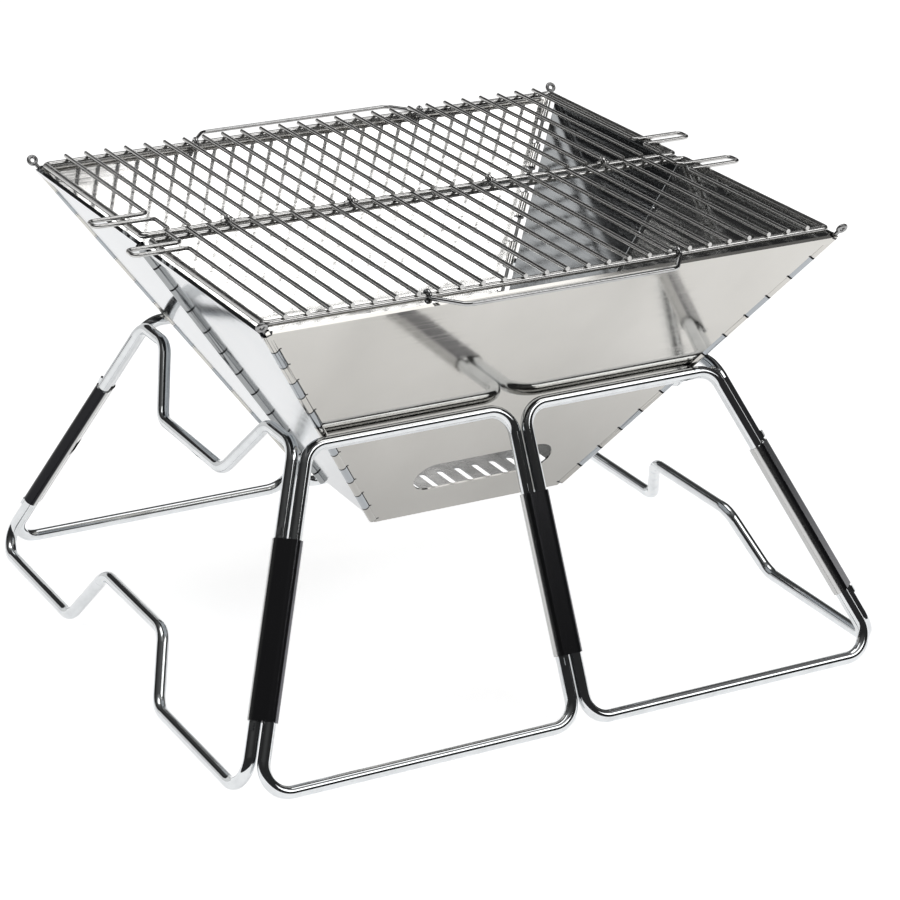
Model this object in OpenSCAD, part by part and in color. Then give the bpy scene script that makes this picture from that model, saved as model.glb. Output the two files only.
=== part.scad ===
// Folding camp grill: a sheet-metal firebox whose six walls are joined by
// piano hinges, a folding ring of six wire legs that carries it, and a cooking
// grate in two hinged halves with bail handles.
// Origin: on the ground at the middle of the grill, X along the rim, front at -Y.

/* [Firebox] */
// Length of the rim, left to right
rim_l = 330; // [326:1:334]
// Depth of the rim, front to back
rim_d = 310; // [306:1:314]
// Height of the rim above the ground
rim_h = 240; // [238:1:242]
// Length of the open bottom of the firebox
base_l = 114; // [110:1:118]
// Depth of the open bottom of the firebox
base_d = 102; // [98:1:106]
// Height of the lower edge of the walls
base_h = 80; // [78:1:82]
// Thickness of the wall sheet
sheet = 1; // [0.8:0.1:1.1]
// Length of the air slot in the front and back walls
slot_l = 84; // [60:1:90]
// Height of the air slot, measured up the wall
slot_w = 23; // [14:1:26]
// Distance from the bottom edge up the wall to the middle of the air slot
slot_up = 34; // [28:1:40]

/* [Hinges] */
// Outer radius of the rolled hinge knuckles
knuckle_r = 2.4; // [2.3:0.1:2.6]
// Radius of the hinge pins
pin_r = 1.1; // [1:0.05:1.2]
// Knuckles along each corner hinge
corner_knuckles = 13; // [9:2:15]
// Knuckles along each hinge in the middle of an end wall
mid_knuckles = 12; // [8:1:14]

/* [Stand] */
// Diameter of the leg wire
leg_d = 7; // [6:0.5:7.5]
// Distance from the middle to the corner hinge lines along X, at the ground
stand_x = 193; // [190:1:196]
// Distance from the middle to the hinge lines along Y, at the ground
stand_y = 184; // [182:1:187]
// Inward lean of the side frames, as a distance in for each unit up
lean_x = 0.43; // [0.4:0.01:0.46]
// Height of the centre of the top bars
top_h = 155; // [152:1:158]
// Lower end of the sleeves
sleeve_low = 36; // [32:1:40]
// Upper end of the sleeves
sleeve_high = 114; // [108:1:118]

/* [Grate] */
// Diameter of the wire of the two grate frames
rail_d = 3.5; // [3:0.5:3.5]
// Diameter of the grate bars
bar_d = 2.4; // [2.2:0.1:2.6]
// Bars in each half of the grate
bar_count = 26; // [24:2:26]
// How far the handles stand out from the grate frame
handle_out = 20; // [18:1:26]

/* [Hidden] */
$fn = 48;

// Play between a pin and its bore, and between a leg wire and its sleeve
play = 0.05;
// Each wall stands this far outside the plane of its hinge lines
wall_gap = 0.35;
// The hinge in an end wall lies this far outside the plane of the corner hinges
mid_out = wall_gap + sheet + 0.45;
// Space between neighbouring knuckles and round a knuckle of the other wall
knuckle_space = 0.35;
hem_w = 5;
hem_t = 2;
wall_rise = rim_h - base_h;
leg_r = leg_d / 2;
rail_r = rail_d / 2;
bar_r = bar_d / 2;
leg_bend = 13;
// Clearance of the leg wire that rests in the open sleeve without being held by it
open_gap = 4;

// A wall is drawn flat and then stood up: along its length X, up the wall Y
front_slope = (rim_d - base_d) / 2 / wall_rise;
end_slope = (rim_l - base_l) / 2 / wall_rise;
front_v = wall_rise * sqrt(1 + pow(front_slope, 2));
end_v = wall_rise * sqrt(1 + pow(end_slope, 2));

// The knuckles at the firebox's corners rest against the top bars
top_bar_y = base_d / 2 + (top_h - base_h) * front_slope
    + (knuckle_r + play + leg_r) * sqrt(1 + pow(front_slope, 2));
lean_y = (stand_y - top_bar_y) / top_h;
pair_gap = 0.7;
pair = leg_d + pair_gap;
corner_off = pair / sqrt(2 - pow(lean_x - lean_y, 2) / (1 + pow(lean_x, 2) + pow(lean_y, 2)));

rail_x = rim_l / 2 - 2.5;
rail_y = rim_d / 2 - 5.5;
rail_z = rim_h + 1.6;
inner_y = 5;
bar_z = rail_z + rail_r + bar_r;
bar_pitch = (2 * rail_x - 24) / (bar_count - 1);
// The bars of the two halves lie side by side when the grate is folded
bar_shift = 1.6;
hinge_bars = [3, 9, bar_count - 10, bar_count - 4];

function unit(v) = v / norm(v);
function turn(a, b) = acos(min(1, max(-1, a * b)));
function bend_len(a, b, bend) = bend * tan(turn(a, b) / 2);
function mir(p, sx, sy) = [p.x * sx, p.y * sy, p.z];
function mir_all(pts, sx, sy) = [for (p = pts) mir(p, sx, sy)];

// Places children with their Z axis along z and their X axis as near to x as it can be
module frame_at(p, z, x) {
    c = unit(z);
    a = unit(x - (x * c) * c);
    b = cross(c, a);
    multmatrix([[a.x, b.x, c.x, p.x], [a.y, b.y, c.y, p.y], [a.z, b.z, c.z, p.z], [0, 0, 0, 1]])
        children();
}

module straight(p, q, r) {
    d = q - p;
    side = abs(unit(d).z) > 0.9 ? [1, 0, 0] : [0, 0, 1];
    frame_at(p, d, side) cylinder(r = r, h = norm(d));
}

module elbow(p, a, b, bend, r) {
    n = unit(b - (a * b) * a);
    c = p - bend_len(a, b, bend) * a + bend * n;
    frame_at(c, cross(a, n), -n) rotate_extrude(angle = turn(a, b)) translate([bend, 0]) circle(r = r);
}

// A round wire through the points, with a bend of the given radius at each one.
// The bends are a hair thinner, so that each straight ends in a clean edge.
module wire(pts, r, bend, closed = false) {
    n = len(pts);
    dirs = [for (i = [0:n - 1]) unit(pts[(i + 1) % n] - pts[i])];
    lens = [for (i = [0:n - 1]) (closed || (i > 0 && i < n - 1))
        ? bend_len(dirs[(i + n - 1) % n], dirs[i], bend) - 0.05 : 0];
    for (i = [0:n - 1]) {
        if (lens[i] > 0) elbow(pts[i], dirs[(i + n - 1) % n], dirs[i], bend, r - 0.02);
        if (closed || i < n - 1)
            straight(pts[i] + lens[i] * dirs[i], pts[(i + 1) % n] - lens[(i + 1) % n] * dirs[i], r);
    }
}

// ---- Stand ----

// Points of the leg wires at height z: the corner wire of a side frame, and the
// corner and middle wires of a front or back frame
function side_wire(z) = [stand_x - lean_x * z, stand_y - lean_y * z - corner_off, z];
function front_wire(z) = [stand_x - lean_x * z - corner_off, stand_y - lean_y * z, z];
function mid_wire(z) = [pair / 2, stand_y - lean_y * z, z];
function side_x(z) = stand_x - lean_x * z;
corner_dir = unit([-lean_x, -lean_y, 1]);
mid_dir = unit([0, -lean_y, 1]);

foot_in = 65;
arch_h = 36;
arch_w = 41;
dip_top = 69;
dip_w = 41;
dip_h = 122;

module side_frame(sx) {
    half = [side_wire(leg_r), [side_x(leg_r), foot_in, leg_r], [side_x(arch_h), arch_w, arch_h]];
    top = [[side_x(dip_h), dip_w, dip_h], [side_x(top_h), dip_top, top_h], side_wire(top_h)];
    // One loop: front foot, arch, back foot, back hump, dip, front hump
    wire(mir_all(concat([for (p = half) mir(p, 1, -1)], [for (i = [2:-1:0]) half[i]],
        [for (i = [2:-1:0]) top[i]], [for (p = top) mir(p, 1, -1)]), sx, 1), leg_r, leg_bend, true);
    for (sy = [-1, 1]) ears(mir(side_wire(0), sx, sy), mir(corner_dir, sx, sy), [sx, sy, 0]);
}

// short draws the corner wire in towards the middle wire
module front_frame(sx, sy, with_ears, short = 0) {
    in = [short, 0, 0];
    wire(mir_all([front_wire(leg_r) - in, mid_wire(leg_r), mid_wire(top_h), front_wire(top_h) - in],
        sx, sy), leg_r, leg_bend, true);
    if (with_ears) ears(mir(mid_wire(0), sx, sy), mir(mid_dir, sx, sy), [0, sy, 0]);
}

// Crimped ears on a leg wire that keep a sleeve from sliding along it
ear_l = 4;
module ears(foot, dir, out) {
    for (z = [sleeve_low - ear_l / 2 - 0.8, sleeve_high + ear_l / 2 + 0.8])
        frame_at(foot + dir * (z / dir.z), dir, out)
            translate([leg_r * 0.6, -1.2, -ear_l / 2]) cube([leg_r * 0.4 + 1.1, 2.4, ear_l]);
}

sleeve_t = 0.8;
module oblong(r, w) {
    for (s = [-1, 1]) translate([s * w / 2, 0]) circle(r = r);
    translate([-w / 2, -r]) square([w, 2 * r]);
}

// Flat-sided sleeve round two leg wires. Its seam faces the firebox and has a
// window half way along it.
module sleeve(p, q, dir, out) {
    len_z = (sleeve_high - sleeve_low) / dir.z;
    frame_at((p + q) / 2 + dir * (sleeve_low / dir.z), dir, q - p) difference() {
        linear_extrude(height = len_z) oblong(leg_r + play + sleeve_t, pair);
        translate([0, 0, -1]) linear_extrude(height = len_z + 2) oblong(leg_r + play, pair);
        translate([-0.4, out > 0 ? 0 : -8, -1]) cube([0.8, 8, len_z + 2]);
        translate([-pair / 2, out > 0 ? 0 : -8, len_z / 2 - 5]) cube([pair, 8, 10]);
    }
}

module corner_sleeve(sx, sy) {
    sleeve(mir(side_wire(0), sx, sy), mir(front_wire(0), sx, sy), mir(corner_dir, sx, sy), sx * sy);
}

module mid_sleeve(sy) {
    sleeve(mir(mid_wire(0), -1, sy), mir(mid_wire(0), 1, sy), mir(mid_dir, 1, sy), -sy);
}

// The sleeve at the open pivot grips one wire, and is a shallow rest for the other
module open_sleeve(sx, sy) {
    dir = mir(corner_dir, sx, sy);
    foot = mir(side_wire(sleeve_low), sx, sy);
    len_z = (sleeve_high - sleeve_low) / dir.z;
    frame_at(foot, dir, mir(front_wire(sleeve_low), sx, sy) - foot) difference() {
        linear_extrude(height = len_z) circle(r = leg_r + play + sleeve_t);
        translate([0, 0, -1]) cylinder(r = leg_r + play, h = len_z + 2);
        translate([leg_r - 0.6, -leg_d, -1]) cube([leg_d, 2 * leg_d, len_z + 2]);
    }
}

module left_side_frame() { color("silver") side_frame(-1); }
module right_side_frame() { color("silver") side_frame(1); }
module front_left_frame() { color("silver") front_frame(-1, -1, true); }
module front_right_frame() { color("silver") front_frame(1, -1, false); }
module back_left_frame() { color("silver") front_frame(-1, 1, true); }
module back_right_frame() { color("silver") front_frame(1, 1, false, open_gap); }
module front_left_sleeve() { color("dimgray") corner_sleeve(-1, -1); }
module front_mid_sleeve() { color("dimgray") mid_sleeve(-1); }
module front_right_sleeve() { color("dimgray") corner_sleeve(1, -1); }
module back_left_sleeve() { color("dimgray") corner_sleeve(-1, 1); }
module back_mid_sleeve() { color("dimgray") mid_sleeve(1); }
module back_right_sleeve() { color("dimgray") open_sleeve(1, 1); }

// ---- Firebox ----

// Stands a flat wall up on its side of the firebox: 0 front, 1 left, 2 back, 3 right
module stand_wall(side) {
    front = side % 2 == 0;
    rotate([0, 0, -90 * side]) translate([0, -(front ? base_d : base_l) / 2, base_h])
        rotate([90 + atan(front ? front_slope : end_slope), 0, 0]) children();
}

// Knuckles numbered first, first + 2 and so on of count, along a hinge line from p to q.
// Those at its ends reach over them.
module knuckles(p, q, count, first, r, space, over = 0) {
    step = norm(q - p) / count;
    frame_at(p, q - p, [0, 0, 1]) for (i = [first:2:count - 1]) {
        start = i * step + (knuckle_space - space) / 2 - (i == 0 ? over : 0);
        end = (i + 1) * step - (knuckle_space - space) / 2 + (i == count - 1 ? over : 0);
        translate([0, 0, start]) cylinder(r = r, h = end - start);
    }
}

module bore(p, q) {
    d = unit(q - p);
    straight(p - 2 * d, q + 2 * d, pin_r + play);
}

// A sheet wall with half lengths low and high at its bottom and top edges. Its
// hinge lines are lists of [start, end, knuckle count, first knuckle, reach of the cuts].
module wall(points, v, hinges) {
    difference() {
        union() {
            difference() {
                union() {
                    translate([0, 0, wall_gap]) linear_extrude(height = sheet) polygon(points);
                    translate([0, 0, wall_gap]) linear_extrude(height = hem_t) intersection() {
                        polygon(points);
                        translate([-rim_l, v - hem_w]) square([2 * rim_l, hem_w]);
                    }
                }
                for (h = hinges)
                    knuckles(h[0], h[1], h[2], 1 - h[3], knuckle_r + knuckle_space, 2 * knuckle_space, h[4]);
            }
            for (h = hinges) knuckles(h[0], h[1], h[2], h[3], knuckle_r, 0);
        }
        for (h = hinges) bore(h[0], h[1]);
    }
}

module air_slot() {
    translate([0, slot_up, -1]) linear_extrude(height = 6) oblong(slot_w / 2, slot_l - slot_w);
}

// The knuckles of a corner hinge stop a little short of the walls' ends
function corner_hinge(low, high, v, first) = let (a = [low, 0, 0], b = [high, v, 0])
    [a + 0.012 * (b - a), b - 0.008 * (b - a), corner_knuckles, first, 6];

module long_wall() {
    low = base_l / 2;
    high = rim_l / 2;
    difference() {
        wall([[-low, 0], [low, 0], [high, front_v], [-high, front_v]], front_v,
            [corner_hinge(-low, -high, front_v, 0), corner_hinge(low, high, front_v, 0)]);
        air_slot();
    }
}

function mid_hinge(first) = [[0, 0, mid_out], [0, end_v, mid_out], mid_knuckles, first, 0];

// The end walls stop this far up their slope, to fold in over the floor plate
end_foot = 8;
module above_foot() {
    difference() {
        children();
        translate([-rim_d, -10, -10]) cube([2 * rim_d, 10 + end_foot, 20]);
    }
}

// Half of an end wall, from its corner hinge to the hinge in the middle of the end
module half_wall(s, first) {
    low = s * base_d / 2;
    high = s * rim_d / 2;
    above_foot() wall([[0, 0], [low, 0], [high, end_v], [0, end_v]], end_v,
        [corner_hinge(low, high, end_v, 1), mid_hinge(first)]);
}

// The half whose corner edge is free stops short of the corner
module free_half_wall(s, first) {
    above_foot() wall([[0, 0], [s * (base_d / 2 - 5), 0], [s * (rim_d / 2 - 8), end_v], [0, end_v]],
        end_v, [mid_hinge(first)]);
}

module corner_pin(sx, sy) {
    p = [sx * base_l / 2, sy * base_d / 2, base_h];
    q = [sx * rim_l / 2, sy * rim_d / 2, rim_h];
    d = unit(q - p);
    straight(p + d, q + d * 2, pin_r);
    // Eye bent into the top of the pin
    frame_at(q + d * (2 * pin_r + 2), cross(d, [sx, 0, 0]), d) rotate_extrude() translate([2 * pin_r, 0])
        circle(r = pin_r - 0.02);
}

module mid_pin(side) {
    stand_wall(side) straight([0, end_foot, mid_out], [0, end_v, mid_out], pin_r);
}

// The floor plate hangs from tabs on the inside of the front wall. Its pin lies
// floor_up up that wall and floor_in inside it.
floor_r = 2;
floor_up = 4.8;
floor_in = 2.05;
floor_y = -base_d / 2 - (floor_up * front_slope - floor_in) / sqrt(1 + pow(front_slope, 2));
floor_z = base_h + (floor_up + floor_in * front_slope) / sqrt(1 + pow(front_slope, 2));
floor_tab = 12;
floor_tabs = [-40, 0, 40];

module floor_hinge(starts, width) {
    for (x = starts) translate([x - width / 2, floor_y, floor_z]) rotate([0, 90, 0])
        cylinder(r = floor_r, h = width);
}

module front_wall() {
    color("gainsboro") difference() {
        union() {
            stand_wall(0) {
                long_wall();
                for (x = floor_tabs) translate([x - floor_tab / 2 + 1, floor_up - 0.7, -floor_in])
                    cube([floor_tab - 2, 1.6, floor_in + wall_gap + 0.5]);
            }
            floor_hinge(floor_tabs, floor_tab);
        }
        translate([-base_l / 2, floor_y, floor_z]) rotate([0, 90, 0]) cylinder(r = pin_r + play, h = base_l);
    }
}

module back_wall() { color("gainsboro") stand_wall(2) long_wall(); }
module left_front_wall() { color("lightgray") stand_wall(1) half_wall(1, 0); }
module left_back_wall() { color("lightgray") stand_wall(1) half_wall(-1, 1); }
module right_front_wall() { color("lightgray") stand_wall(3) half_wall(-1, 0); }
module right_back_wall() { color("lightgray") stand_wall(3) free_half_wall(1, 1); }
module front_left_pin() { color("gray") corner_pin(-1, -1); }
module front_right_pin() { color("gray") corner_pin(1, -1); }
module back_left_pin() { color("gray") corner_pin(-1, 1); }
module back_right_pin() { color("gray") corner_pin(1, 1); }
module left_mid_pin() { color("gray") mid_pin(1); }
module right_mid_pin() { color("gray") mid_pin(3); }

plate_x = base_l / 2 - 3;
plate_y = base_d / 2 - 3;
module floor_plate() {
    color("darkgray") difference() {
        union() {
            translate([-plate_x, floor_y + floor_r + 1, floor_z])
                cube([2 * plate_x, plate_y - floor_y - floor_r - 1, sheet]);
            floor_hinge([-20, 20], 26);
            for (x = [-20, 20]) translate([x - 13, floor_y, floor_z]) cube([26, floor_r + 2, sheet]);
        }
        translate([-base_l / 2, floor_y, floor_z]) rotate([0, 90, 0]) cylinder(r = pin_r + play, h = base_l);
        for (row = [-1, 0, 1], i = [-4:4]) translate([i * 11, row * 28 + 1, floor_z - 1])
            linear_extrude(height = sheet + 2) rotate([0, 0, 90]) oblong(2, 16);
    }
}

module floor_pin() {
    color("gray") translate([-base_l / 2 + 8, floor_y, floor_z]) rotate([0, 90, 0])
        cylinder(r = pin_r, h = base_l - 16);
}

// ---- Grate ----

function bar_x(i, s) = (i - (bar_count - 1) / 2) * bar_pitch + s * bar_shift;
function is_hinge(i) = len(search(i, hinge_bars)) > 0;

// s is -1 for the front half and 1 for the rear half
module grate_frame(s) {
    wire([[-rail_x, s * rail_y, rail_z], [rail_x, s * rail_y, rail_z],
        [rail_x, s * inner_y, rail_z], [-rail_x, s * inner_y, rail_z]], rail_r, 2.5, true);
}

bar_end = 3.2;
module grate_bars(s) {
    for (i = [1:bar_count - 2]) {
        x = bar_x(i, s);
        near = is_hinge(i) ? (s > 0 ? 0 : 2 * bar_r) : bar_end;
        straight([x, s * (rail_y + 2.5), bar_z], [x, s * near, bar_z], bar_r);
    }
    for (i = hinge_bars) {
        x = bar_x(i, s);
        // The rear bar turns sideways as a pintle, and the front bar ends in an eye round it
        if (s > 0) {
            translate([x, 0, bar_z]) sphere(r = bar_r);
            straight([x, 0, bar_z], [x - 7, 0, bar_z], bar_r);
        } else {
            translate([x, 0, bar_z]) rotate([0, 90, 0]) rotate_extrude()
                translate([2 * bar_r + play, 0]) circle(r = bar_r);
        }
    }
}

loop_out = rail_x + 20;
loop_far = 32;
loop_near = 22;

// The outermost bars bend out over the side rails as finger loops
module grate_loops(s) {
    for (side = [-1, 1]) {
        x = bar_x(side < 0 ? 0 : bar_count - 1, s);
        wire([[x, s * (rail_y + 2.5), bar_z], [x, s * loop_far, bar_z], [side * loop_out, s * loop_far, bar_z],
            [side * loop_out, s * loop_near, bar_z], [x, s * loop_near, bar_z], [x, s * bar_end, bar_z]],
            bar_r, 3, false);
    }
}

// Half widths of a handle where it grips the rail and at its outer bar
grip_x = 6 * bar_pitch;
handle_x = 60;
curl_r = rail_r + bar_r + play;
module handle(s) {
    c = s * bar_shift;
    outer = s * (rail_y + handle_out);
    for (side = [-1, 1]) translate([c + side * grip_x, s * rail_y, rail_z]) rotate([0, 90, 0])
        rotate_extrude() translate([curl_r, 0]) circle(r = bar_r - 0.15);
    wire([[c - grip_x, s * (rail_y + curl_r), rail_z], [c - handle_x, outer, rail_z],
        [c + handle_x, outer, rail_z], [c + grip_x, s * (rail_y + curl_r), rail_z]], bar_r, 6, false);
}

module front_grate_frame() { color("gray") grate_frame(-1); }
module rear_grate_frame() { color("gray") grate_frame(1); }
module front_grate_bars() { color("gray") grate_bars(-1); }
module rear_grate_bars() { color("gray") grate_bars(1); }
module front_grate_loops() { color("gray") grate_loops(-1); }
module rear_grate_loops() { color("gray") grate_loops(1); }
module front_handle() { color("dimgray") handle(-1); }
module rear_handle() { color("dimgray") handle(1); }

left_side_frame();
right_side_frame();
front_left_frame();
front_right_frame();
back_left_frame();
back_right_frame();
front_left_sleeve();
front_mid_sleeve();
front_right_sleeve();
back_left_sleeve();
back_mid_sleeve();
back_right_sleeve();
front_wall();
back_wall();
left_front_wall();
left_back_wall();
right_front_wall();
right_back_wall();
front_left_pin();
front_right_pin();
back_left_pin();
back_right_pin();
left_mid_pin();
right_mid_pin();
floor_plate();
floor_pin();
front_grate_frame();
front_grate_bars();
rear_grate_frame();
rear_grate_bars();
front_grate_loops();
rear_grate_loops();
front_handle();
rear_handle();
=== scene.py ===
import math

import bpy
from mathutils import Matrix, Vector

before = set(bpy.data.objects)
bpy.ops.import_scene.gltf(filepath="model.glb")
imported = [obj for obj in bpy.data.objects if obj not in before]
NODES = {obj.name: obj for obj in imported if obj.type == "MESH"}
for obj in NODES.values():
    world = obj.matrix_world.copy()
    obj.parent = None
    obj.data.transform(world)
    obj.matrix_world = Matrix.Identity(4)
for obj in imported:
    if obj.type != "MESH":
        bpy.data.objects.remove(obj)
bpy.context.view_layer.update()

MM = 0.001
scene = bpy.context.scene


# ---- Camera and view ----

CAMERA_TARGET = Vector((0.0164, 0, 0.0892))
CAMERA_AZIMUTH, CAMERA_ELEVATION = -27.48, 21.99  # degrees
CAMERA_DISTANCE = 1.757
CAMERA_LENS, SENSOR_WIDTH = 124.3, 36  # millimetres
NEAR_CLIP, FAR_CLIP = 0.05, 60


def look_at(target, azimuth, elevation, distance):
    a, e = math.radians(azimuth), math.radians(elevation)
    back = Vector((math.sin(a) * math.cos(e), -math.cos(a) * math.cos(e), math.sin(e)))
    return target + back * distance, (-back).to_track_quat("-Z", "Y")


cam = bpy.data.objects.new("camera", bpy.data.cameras.new("camera"))
scene.collection.objects.link(cam)
cam.data.sensor_width, cam.data.lens = SENSOR_WIDTH, CAMERA_LENS
cam.data.clip_start, cam.data.clip_end = NEAR_CLIP, FAR_CLIP
cam.rotation_mode = "QUATERNION"
cam.location, cam.rotation_quaternion = look_at(
    CAMERA_TARGET, CAMERA_AZIMUTH, CAMERA_ELEVATION, CAMERA_DISTANCE)
scene.camera = cam
scene.view_settings.view_transform = "Standard"
scene.view_settings.look = "None"


# ---- Node helpers ----

def rgb(r, g, b):
    return (r, g, b, 1.0)


def grey(level):
    return rgb(level, level, level)


class Graph:
    """A small builder for one material's nodes."""

    def __init__(self, name):
        self.material = bpy.data.materials.new(name)
        self.material.use_nodes = True
        self.tree = self.material.node_tree
        self.shader = next(n for n in self.tree.nodes if n.type == "BSDF_PRINCIPLED")

    def node(self, kind, inputs=(), **settings):
        made = self.tree.nodes.new("ShaderNode" + kind)
        for key, value in settings.items():
            setattr(made, key, value)
        for key, value in dict(inputs).items():
            self.feed(made.inputs[key], value)
        return made

    def feed(self, socket, value):
        if isinstance(value, bpy.types.NodeSocket):
            self.tree.links.new(value, socket)
        else:
            socket.default_value = value

    def coords(self, kind):
        """The piece's own "Object" place or its "Normal"."""
        return self.node("TexCoord").outputs[kind]

    def up_part(self, vector):
        return self.node("SeparateXYZ", {0: vector}).outputs["Z"]

    def noise(self, scale, detail=2.0, roughness=0.55):
        """Noise with about `scale` features to the metre along each axis."""
        place = self.node("Mapping", {"Vector": self.coords("Object"), "Scale": scale})
        return self.node("TexNoise", {
            "Vector": place.outputs["Vector"], "Scale": 1.0, "Detail": detail,
            "Roughness": roughness}).outputs["Fac"]

    def span(self, value, low, high, start=0.3, end=0.7):
        """value from start to end, turned into low to high."""
        return self.node("MapRange", {
            "Value": value, "From Min": start, "From Max": end,
            "To Min": low, "To Max": high}).outputs["Result"]

    def mix(self, share, first, second):
        made = self.node("Mix", data_type="RGBA")
        self.feed(made.inputs["Factor"], share)
        self.feed(made.inputs["A"], first)
        self.feed(made.inputs["B"], second)
        return made.outputs["Result"]

    def math(self, operation, first, second):
        return self.node("Math", {0: first, 1: second}, operation=operation).outputs["Value"]

    def vector(self, operation, first, second=(0, 0, 0)):
        """A vector operation whose result is a vector."""
        made = self.node("VectorMath", {0: first, 1: second}, operation=operation)
        return made.outputs["Vector"]

    def measure(self, operation, first, second):
        """A vector operation whose result is a number."""
        made = self.node("VectorMath", {0: first, 1: second}, operation=operation)
        return made.outputs["Value"]

    def scaled(self, vector, factor):
        made = self.node("VectorMath", {0: vector, "Scale": factor}, operation="SCALE")
        return made.outputs["Vector"]

    def bump(self, height, distance, strength=1.0, normal=None):
        inputs = {"Height": height, "Distance": distance, "Strength": strength}
        if normal is not None:
            inputs["Normal"] = normal
        return self.node("Bump", inputs).outputs["Normal"]

    def finish(self, colour, roughness, normal=None, metallic=1.0):
        shader = self.shader.inputs
        self.feed(shader["Base Color"], colour)
        self.feed(shader["Roughness"], roughness)
        self.feed(shader["Metallic"], metallic)
        if normal is not None:
            self.feed(shader["Normal"], normal)
        return self.material

    def glow(self, strength):
        shader = self.shader.inputs
        self.feed(shader["Emission Color"], grey(1))
        self.feed(shader["Emission Strength"], strength)
        self.feed(shader["Specular IOR Level"], 0.0)


# ---- Sheet steel ----

# Hinge lines of the firebox for x > 0, y > 0: start, end, knuckles and reach around the line
CORNER_HINGE = (Vector((58.3, 52.2, 81.9)) * MM, Vector((164.1, 154.2, 238.7)) * MM, 13, 3.6 * MM)
MID_HINGE = (Vector((58.5, 0, 79.0)) * MM, Vector((166.5, 0, 239.0)) * MM, 12, 2.6 * MM)
GAP_HALF = 0.55 * MM
# painted shade on the rolled knuckles of the mid hinge
BARREL_SHADE = rgb(0.31, 0.32, 0.325)
# near-black painted shade for the gaps between hinge knuckles
GAP_SHADE = rgb(0.02, 0.02, 0.022)
# painted shade: sheets darken toward the foot between these heights
SHADE_FOOT, SHADE_RIM = 0.09, 0.19  # heights between which a sheet's shade changes
LOOKS_UP = 0.3, 0.45  # upward part of a normal, from an outer face to an inner one

ROLLED_GRAIN = (40, 40, 900)
EVEN_GRAIN = (60, 60, 60)
GRAIN_DEPTH, GRAIN_STRENGTH = 0.004 * MM, 0.35
CLOUD_SIZE, WAVE_SIZE = (14, 14, 9), (7, 7, 5)


def hinge_masks(g, line):
    """Where a hinge's knuckles are, and the gaps between them, which get painted shade."""
    start, end, count, reach = line
    along = (end - start).normalized()
    half_step = (end - start).length / count / 2
    off = g.vector("SUBTRACT", g.vector("ABSOLUTE", g.coords("Object")), start)
    run = g.measure("DOT_PRODUCT", off, along)
    away = g.measure("DISTANCE", off, g.scaled(along, run))
    near = g.math("LESS_THAN", away, reach)
    gap = g.math("LESS_THAN", g.math("PINGPONG", run, half_step), GAP_HALF)
    return near, g.math("MULTIPLY", near, gap)


def sheet_steel(name, light, dark, grain, rough, wave, hinges=(), low=1.0, inside_light_and_shade=None):
    """Bright rolled sheet: a fine grain, faint clouding, and a slow waviness of the surface.

    Toward the foot of the firebox its colour falls to `low` of the colour at the rim, a painted
    shade. The faces that look up, into the firebox, can have a colour of their own: painted
    light and shade.
    """
    g = Graph(name)
    colour = g.mix(g.span(g.noise(CLOUD_SIZE, detail=4), 0, 1), light, dark)
    height = g.up_part(g.coords("Object"))
    # painted shade: the colour darkens toward the foot of the firebox
    colour = g.scaled(colour, g.span(height, low, 1.0, SHADE_FOOT, SHADE_RIM))
    if inside_light_and_shade is not None:
        # painted light and shade: the faces that look into the firebox get their own colour
        upward = g.up_part(g.coords("Normal"))
        colour = g.mix(g.span(upward, 0, 1, *LOOKS_UP), colour, inside_light_and_shade)
    for line in hinges:
        near, gap = hinge_masks(g, line)
        # the mid hinge's rolled knuckles get a darker grey: painted shade
        if line is MID_HINGE:
            colour = g.mix(near, colour, BARREL_SHADE)
        # painted shade in the gaps between the knuckles
        colour = g.mix(gap, colour, GAP_SHADE)
    fine = g.noise(grain)
    normal = g.bump(g.noise(WAVE_SIZE, detail=1), wave)
    normal = g.bump(fine, GRAIN_DEPTH, GRAIN_STRENGTH, normal)
    return g.finish(colour, g.span(fine, rough * 0.7, rough * 1.5), normal)


WARM_SHEET, WARM_CLOUD = rgb(0.57, 0.557, 0.53), rgb(0.52, 0.507, 0.48)
# end walls: a cooler, darker copy of the same sheet steel, painted reflection and shade
COOL_SHEET, COOL_CLOUD = rgb(0.39, 0.41, 0.43), rgb(0.35, 0.37, 0.39)


def end_steel(name, inside_light_and_shade=None):
    return sheet_steel(name, COOL_SHEET, COOL_CLOUD, ROLLED_GRAIN, rough=0.085, wave=0.5 * MM,
                       hinges=(CORNER_HINGE, MID_HINGE), inside_light_and_shade=inside_light_and_shade)


# ---- Wire and sleeves ----

SPOT_SIZE, SPOT_EDGE = (120, 120, 120), (0.42, 0.66)
DIE_LINES, DIE_STRENGTH = (1400, 1400, 90), 0.5
# the dark side of a sleeve carries a painted dark reflection
FACES_SIDE = 0.25, 0.4  # a normal's part along the dark side, from satin to dark
STRIP_ROUGHNESS = 0.16
SATIN = rgb(0.50, 0.50, 0.495)
DARK_REFLECTION = rgb(0.13, 0.13, 0.14)
BLACK_REFLECTION = rgb(0.02, 0.02, 0.022)
SMOOTH, DRAWN = 0.003 * MM, 0.02 * MM  # depth of the die lines


def wire_steel(name, light, dark, rough, line_depth):
    """Drawn and plated wire, with faint die lines and spots."""
    g = Graph(name)
    spots = g.noise(SPOT_SIZE, detail=5, roughness=0.65)
    colour = g.mix(g.span(spots, 0, 1, *SPOT_EDGE), light, dark)
    normal = g.bump(g.noise(DIE_LINES), line_depth, DIE_STRENGTH)
    return g.finish(colour, g.span(spots, rough * 0.75, rough * 1.7), normal)


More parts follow.
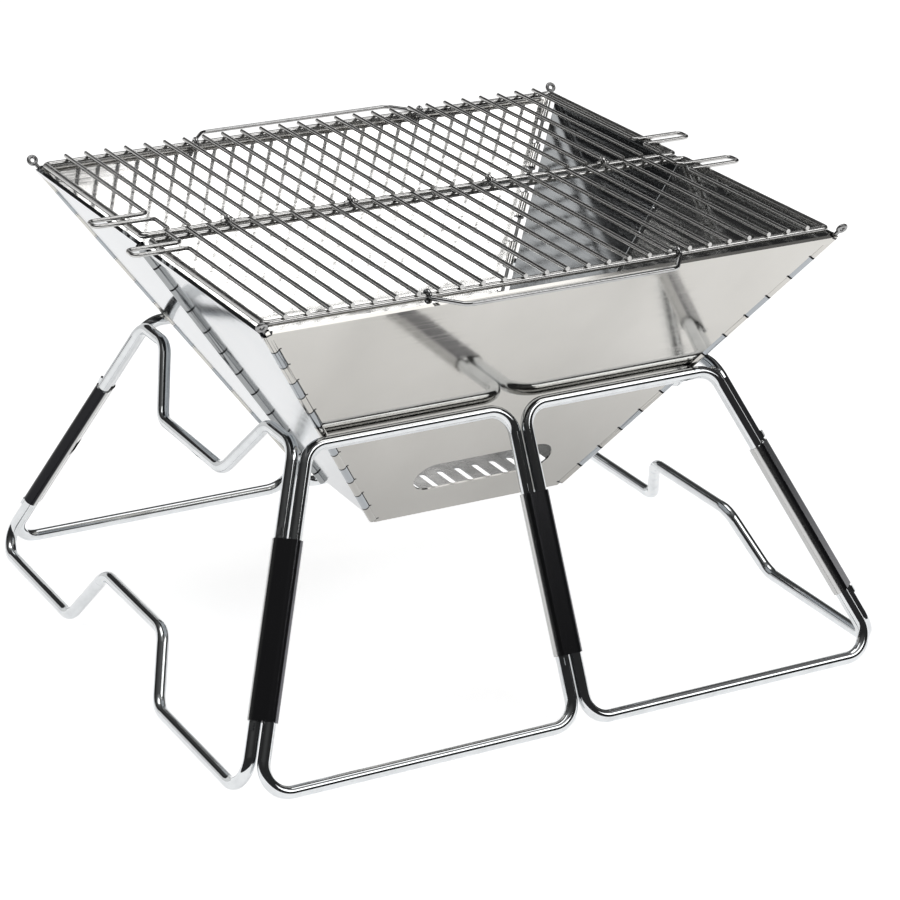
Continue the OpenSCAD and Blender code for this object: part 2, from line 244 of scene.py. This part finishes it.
def strip_steel(name, side, face=DARK_REFLECTION):
    """Satin sleeve steel with a painted dark reflection on the faces toward `side`."""
    g = Graph(name)
    facing = g.measure("DOT_PRODUCT", g.coords("Normal"), side)
    return g.finish(g.mix(g.span(facing, 0, 1, *FACES_SIDE), SATIN, face), STRIP_ROUGHNESS)


# ---- Materials of the CAD nodes ----

def paint(material, *names):
    for name in names:
        slots = NODES[name].data.materials
        slots.clear()
        slots.append(material)


# front wall: painted shade toward its foot
paint(sheet_steel("front_sheet", WARM_SHEET, WARM_CLOUD, ROLLED_GRAIN, rough=0.075,
                  wave=0.6 * MM, hinges=(CORNER_HINGE,), low=0.72),
      "front_wall")
# back wall: a near-white painted highlight on its inner faces
paint(sheet_steel("back_sheet", WARM_SHEET, WARM_CLOUD, ROLLED_GRAIN, rough=0.09,
                  wave=0.2 * MM, hinges=(CORNER_HINGE,), inside_light_and_shade=rgb(0.93, 0.92, 0.90)),
      "back_wall")
paint(end_steel("left_end_sheet"), "left_front_wall", "left_back_wall")
# inner faces: painted light on the right front wall, painted shade on the right back wall
paint(end_steel("right_front_sheet", inside_light_and_shade=rgb(0.58, 0.59, 0.59)), "right_front_wall")
paint(end_steel("right_back_sheet", inside_light_and_shade=rgb(0.20, 0.21, 0.22)), "right_back_wall")
paint(sheet_steel("floor_sheet", grey(0.30), grey(0.20), EVEN_GRAIN, rough=0.22,
                  wave=0.4 * MM),
      "floor_plate")
# pins darker than the other wire: painted shade for the knuckle gaps where they show
paint(wire_steel("pin_wire", grey(0.34), grey(0.22), 0.25, DRAWN),
      "front_left_pin", "front_right_pin", "back_left_pin", "back_right_pin",
      "left_mid_pin", "right_mid_pin", "floor_pin")
paint(wire_steel("leg_wire", rgb(0.66, 0.675, 0.685), rgb(0.60, 0.615, 0.625), 0.05,
                 SMOOTH),
      "left_side_frame", "right_side_frame", "front_left_frame", "front_right_frame",
      "back_left_frame", "back_right_frame")
paint(wire_steel("grate_wire", rgb(0.56, 0.555, 0.545), rgb(0.50, 0.495, 0.485), 0.19,
                 SMOOTH),
      "front_grate_frame", "front_grate_bars", "rear_grate_frame", "rear_grate_bars",
      "front_grate_loops", "rear_grate_loops")
paint(wire_steel("handle_wire", grey(0.46), grey(0.38), 0.09, DRAWN),
      "front_handle", "rear_handle")
# the back sleeves are painted dark all over: a painted dark reflection
paint(wire_steel("sleeve", rgb(0.17, 0.17, 0.18), rgb(0.11, 0.11, 0.12), 0.13, DRAWN),
      "back_mid_sleeve", "back_right_sleeve")
# sleeves: painted dark reflection on the faces toward the given side
paint(strip_steel("front_left_strip", (0.2, -0.98, 0)), "front_left_sleeve")
paint(strip_steel("front_mid_strip", (0.5, -0.86, 0)), "front_mid_sleeve")
paint(strip_steel("front_right_strip", (0.9, -0.35, 0.25)), "front_right_sleeve")
paint(strip_steel("back_left_strip", (-0.94, -0.34, 0), BLACK_REFLECTION), "back_left_sleeve")


# ---- Studio ----

LIGHTS_AIM = Vector((0, 0, 0.1))
PAPER_LIGHT, PAPER_DARK = grey(0.9), grey(0.88)
PAPER_GLOW, PAPER_ROUGHNESS, PAPER_CLOUDS = 0.80, 0.8, (3, 3, 3)
FLOOR_SIZE = (60, 60)


def plane(name, size, location, facing, material):
    mesh = bpy.data.meshes.new(name)
    w, h = size[0] / 2, size[1] / 2
    mesh.from_pydata([(-w, -h, 0), (w, -h, 0), (w, h, 0), (-w, h, 0)], [], [(0, 1, 2, 3)])
    mesh.materials.append(material)
    made = bpy.data.objects.new(name, mesh)
    scene.collection.objects.link(made)
    made.rotation_mode = "QUATERNION"
    made.location = location
    made.rotation_quaternion = Vector(facing).to_track_quat("Z", "Y")
    return made


def card(name, size, location, strength):
    """An upright white card that only shows in reflections."""
    g = Graph(name)
    g.glow(strength)
    made = plane(name, size, location, (-location[0], -location[1], 0),
                 g.finish(grey(0), 1.0, metallic=0.0))
    for ray in ("camera", "diffuse", "transmission", "volume_scatter", "shadow"):
        setattr(made, "visible_" + ray, False)


def area_light(name, location, size, power):
    data = bpy.data.lights.new(name, "AREA")
    data.shape = "RECTANGLE"
    data.size, data.size_y = size
    data.energy = power
    made = bpy.data.objects.new(name, data)
    scene.collection.objects.link(made)
    made.rotation_mode = "QUATERNION"
    made.location = location
    made.rotation_quaternion = (Vector(location) - LIGHTS_AIM).to_track_quat("Z", "Y")


# The floor glows a little, so that it stays white under the grill
paper = Graph("floor_paper")
paper.glow(PAPER_GLOW)
tone = paper.mix(paper.noise(PAPER_CLOUDS), PAPER_DARK, PAPER_LIGHT)
plane("floor", FLOOR_SIZE, (0, 0, 0), (0, 0, 1),
      paper.finish(tone, PAPER_ROUGHNESS, metallic=0.0))

area_light("top", location=(0, 0.2, 2.4), size=(2.4, 1.4), power=17)
area_light("front_right", location=(1.36, -2.12, 2.1), size=(1.8, 1.1), power=16)

# A white board behind the grill gives the wires their pale upper edges
card("back_board", size=(7, 1.3), location=(0, 3.2, 0.65), strength=0.85)

# The room: dark, so that the wires get their black cores, and paler overhead
ROOM_FLOOR, ROOM_ZENITH = rgb(0.03, 0.03, 0.033), grey(0.5)
ROOM_BETWEEN = ((0.45, grey(0.03)), (0.8, grey(0.10)))
world = bpy.data.worlds.new("room")
scene.world = world
world.use_nodes = True
links, nodes = world.node_tree.links, world.node_tree.nodes
direction = nodes.new("ShaderNodeTexCoord").outputs["Generated"]
split = nodes.new("ShaderNodeSeparateXYZ")
links.new(direction, split.inputs["Vector"])
ramp = nodes.new("ShaderNodeValToRGB")
links.new(split.outputs["Z"], ramp.inputs["Fac"])
steps = ramp.color_ramp.elements
steps[0].color, steps[1].color = ROOM_FLOOR, ROOM_ZENITH
for place, colour in ROOM_BETWEEN:
    steps.new(place).color = colour
links.new(ramp.outputs["Color"], nodes["Background"].inputs["Color"])
nodes["Background"].inputs["Strength"].default_value = 1.0
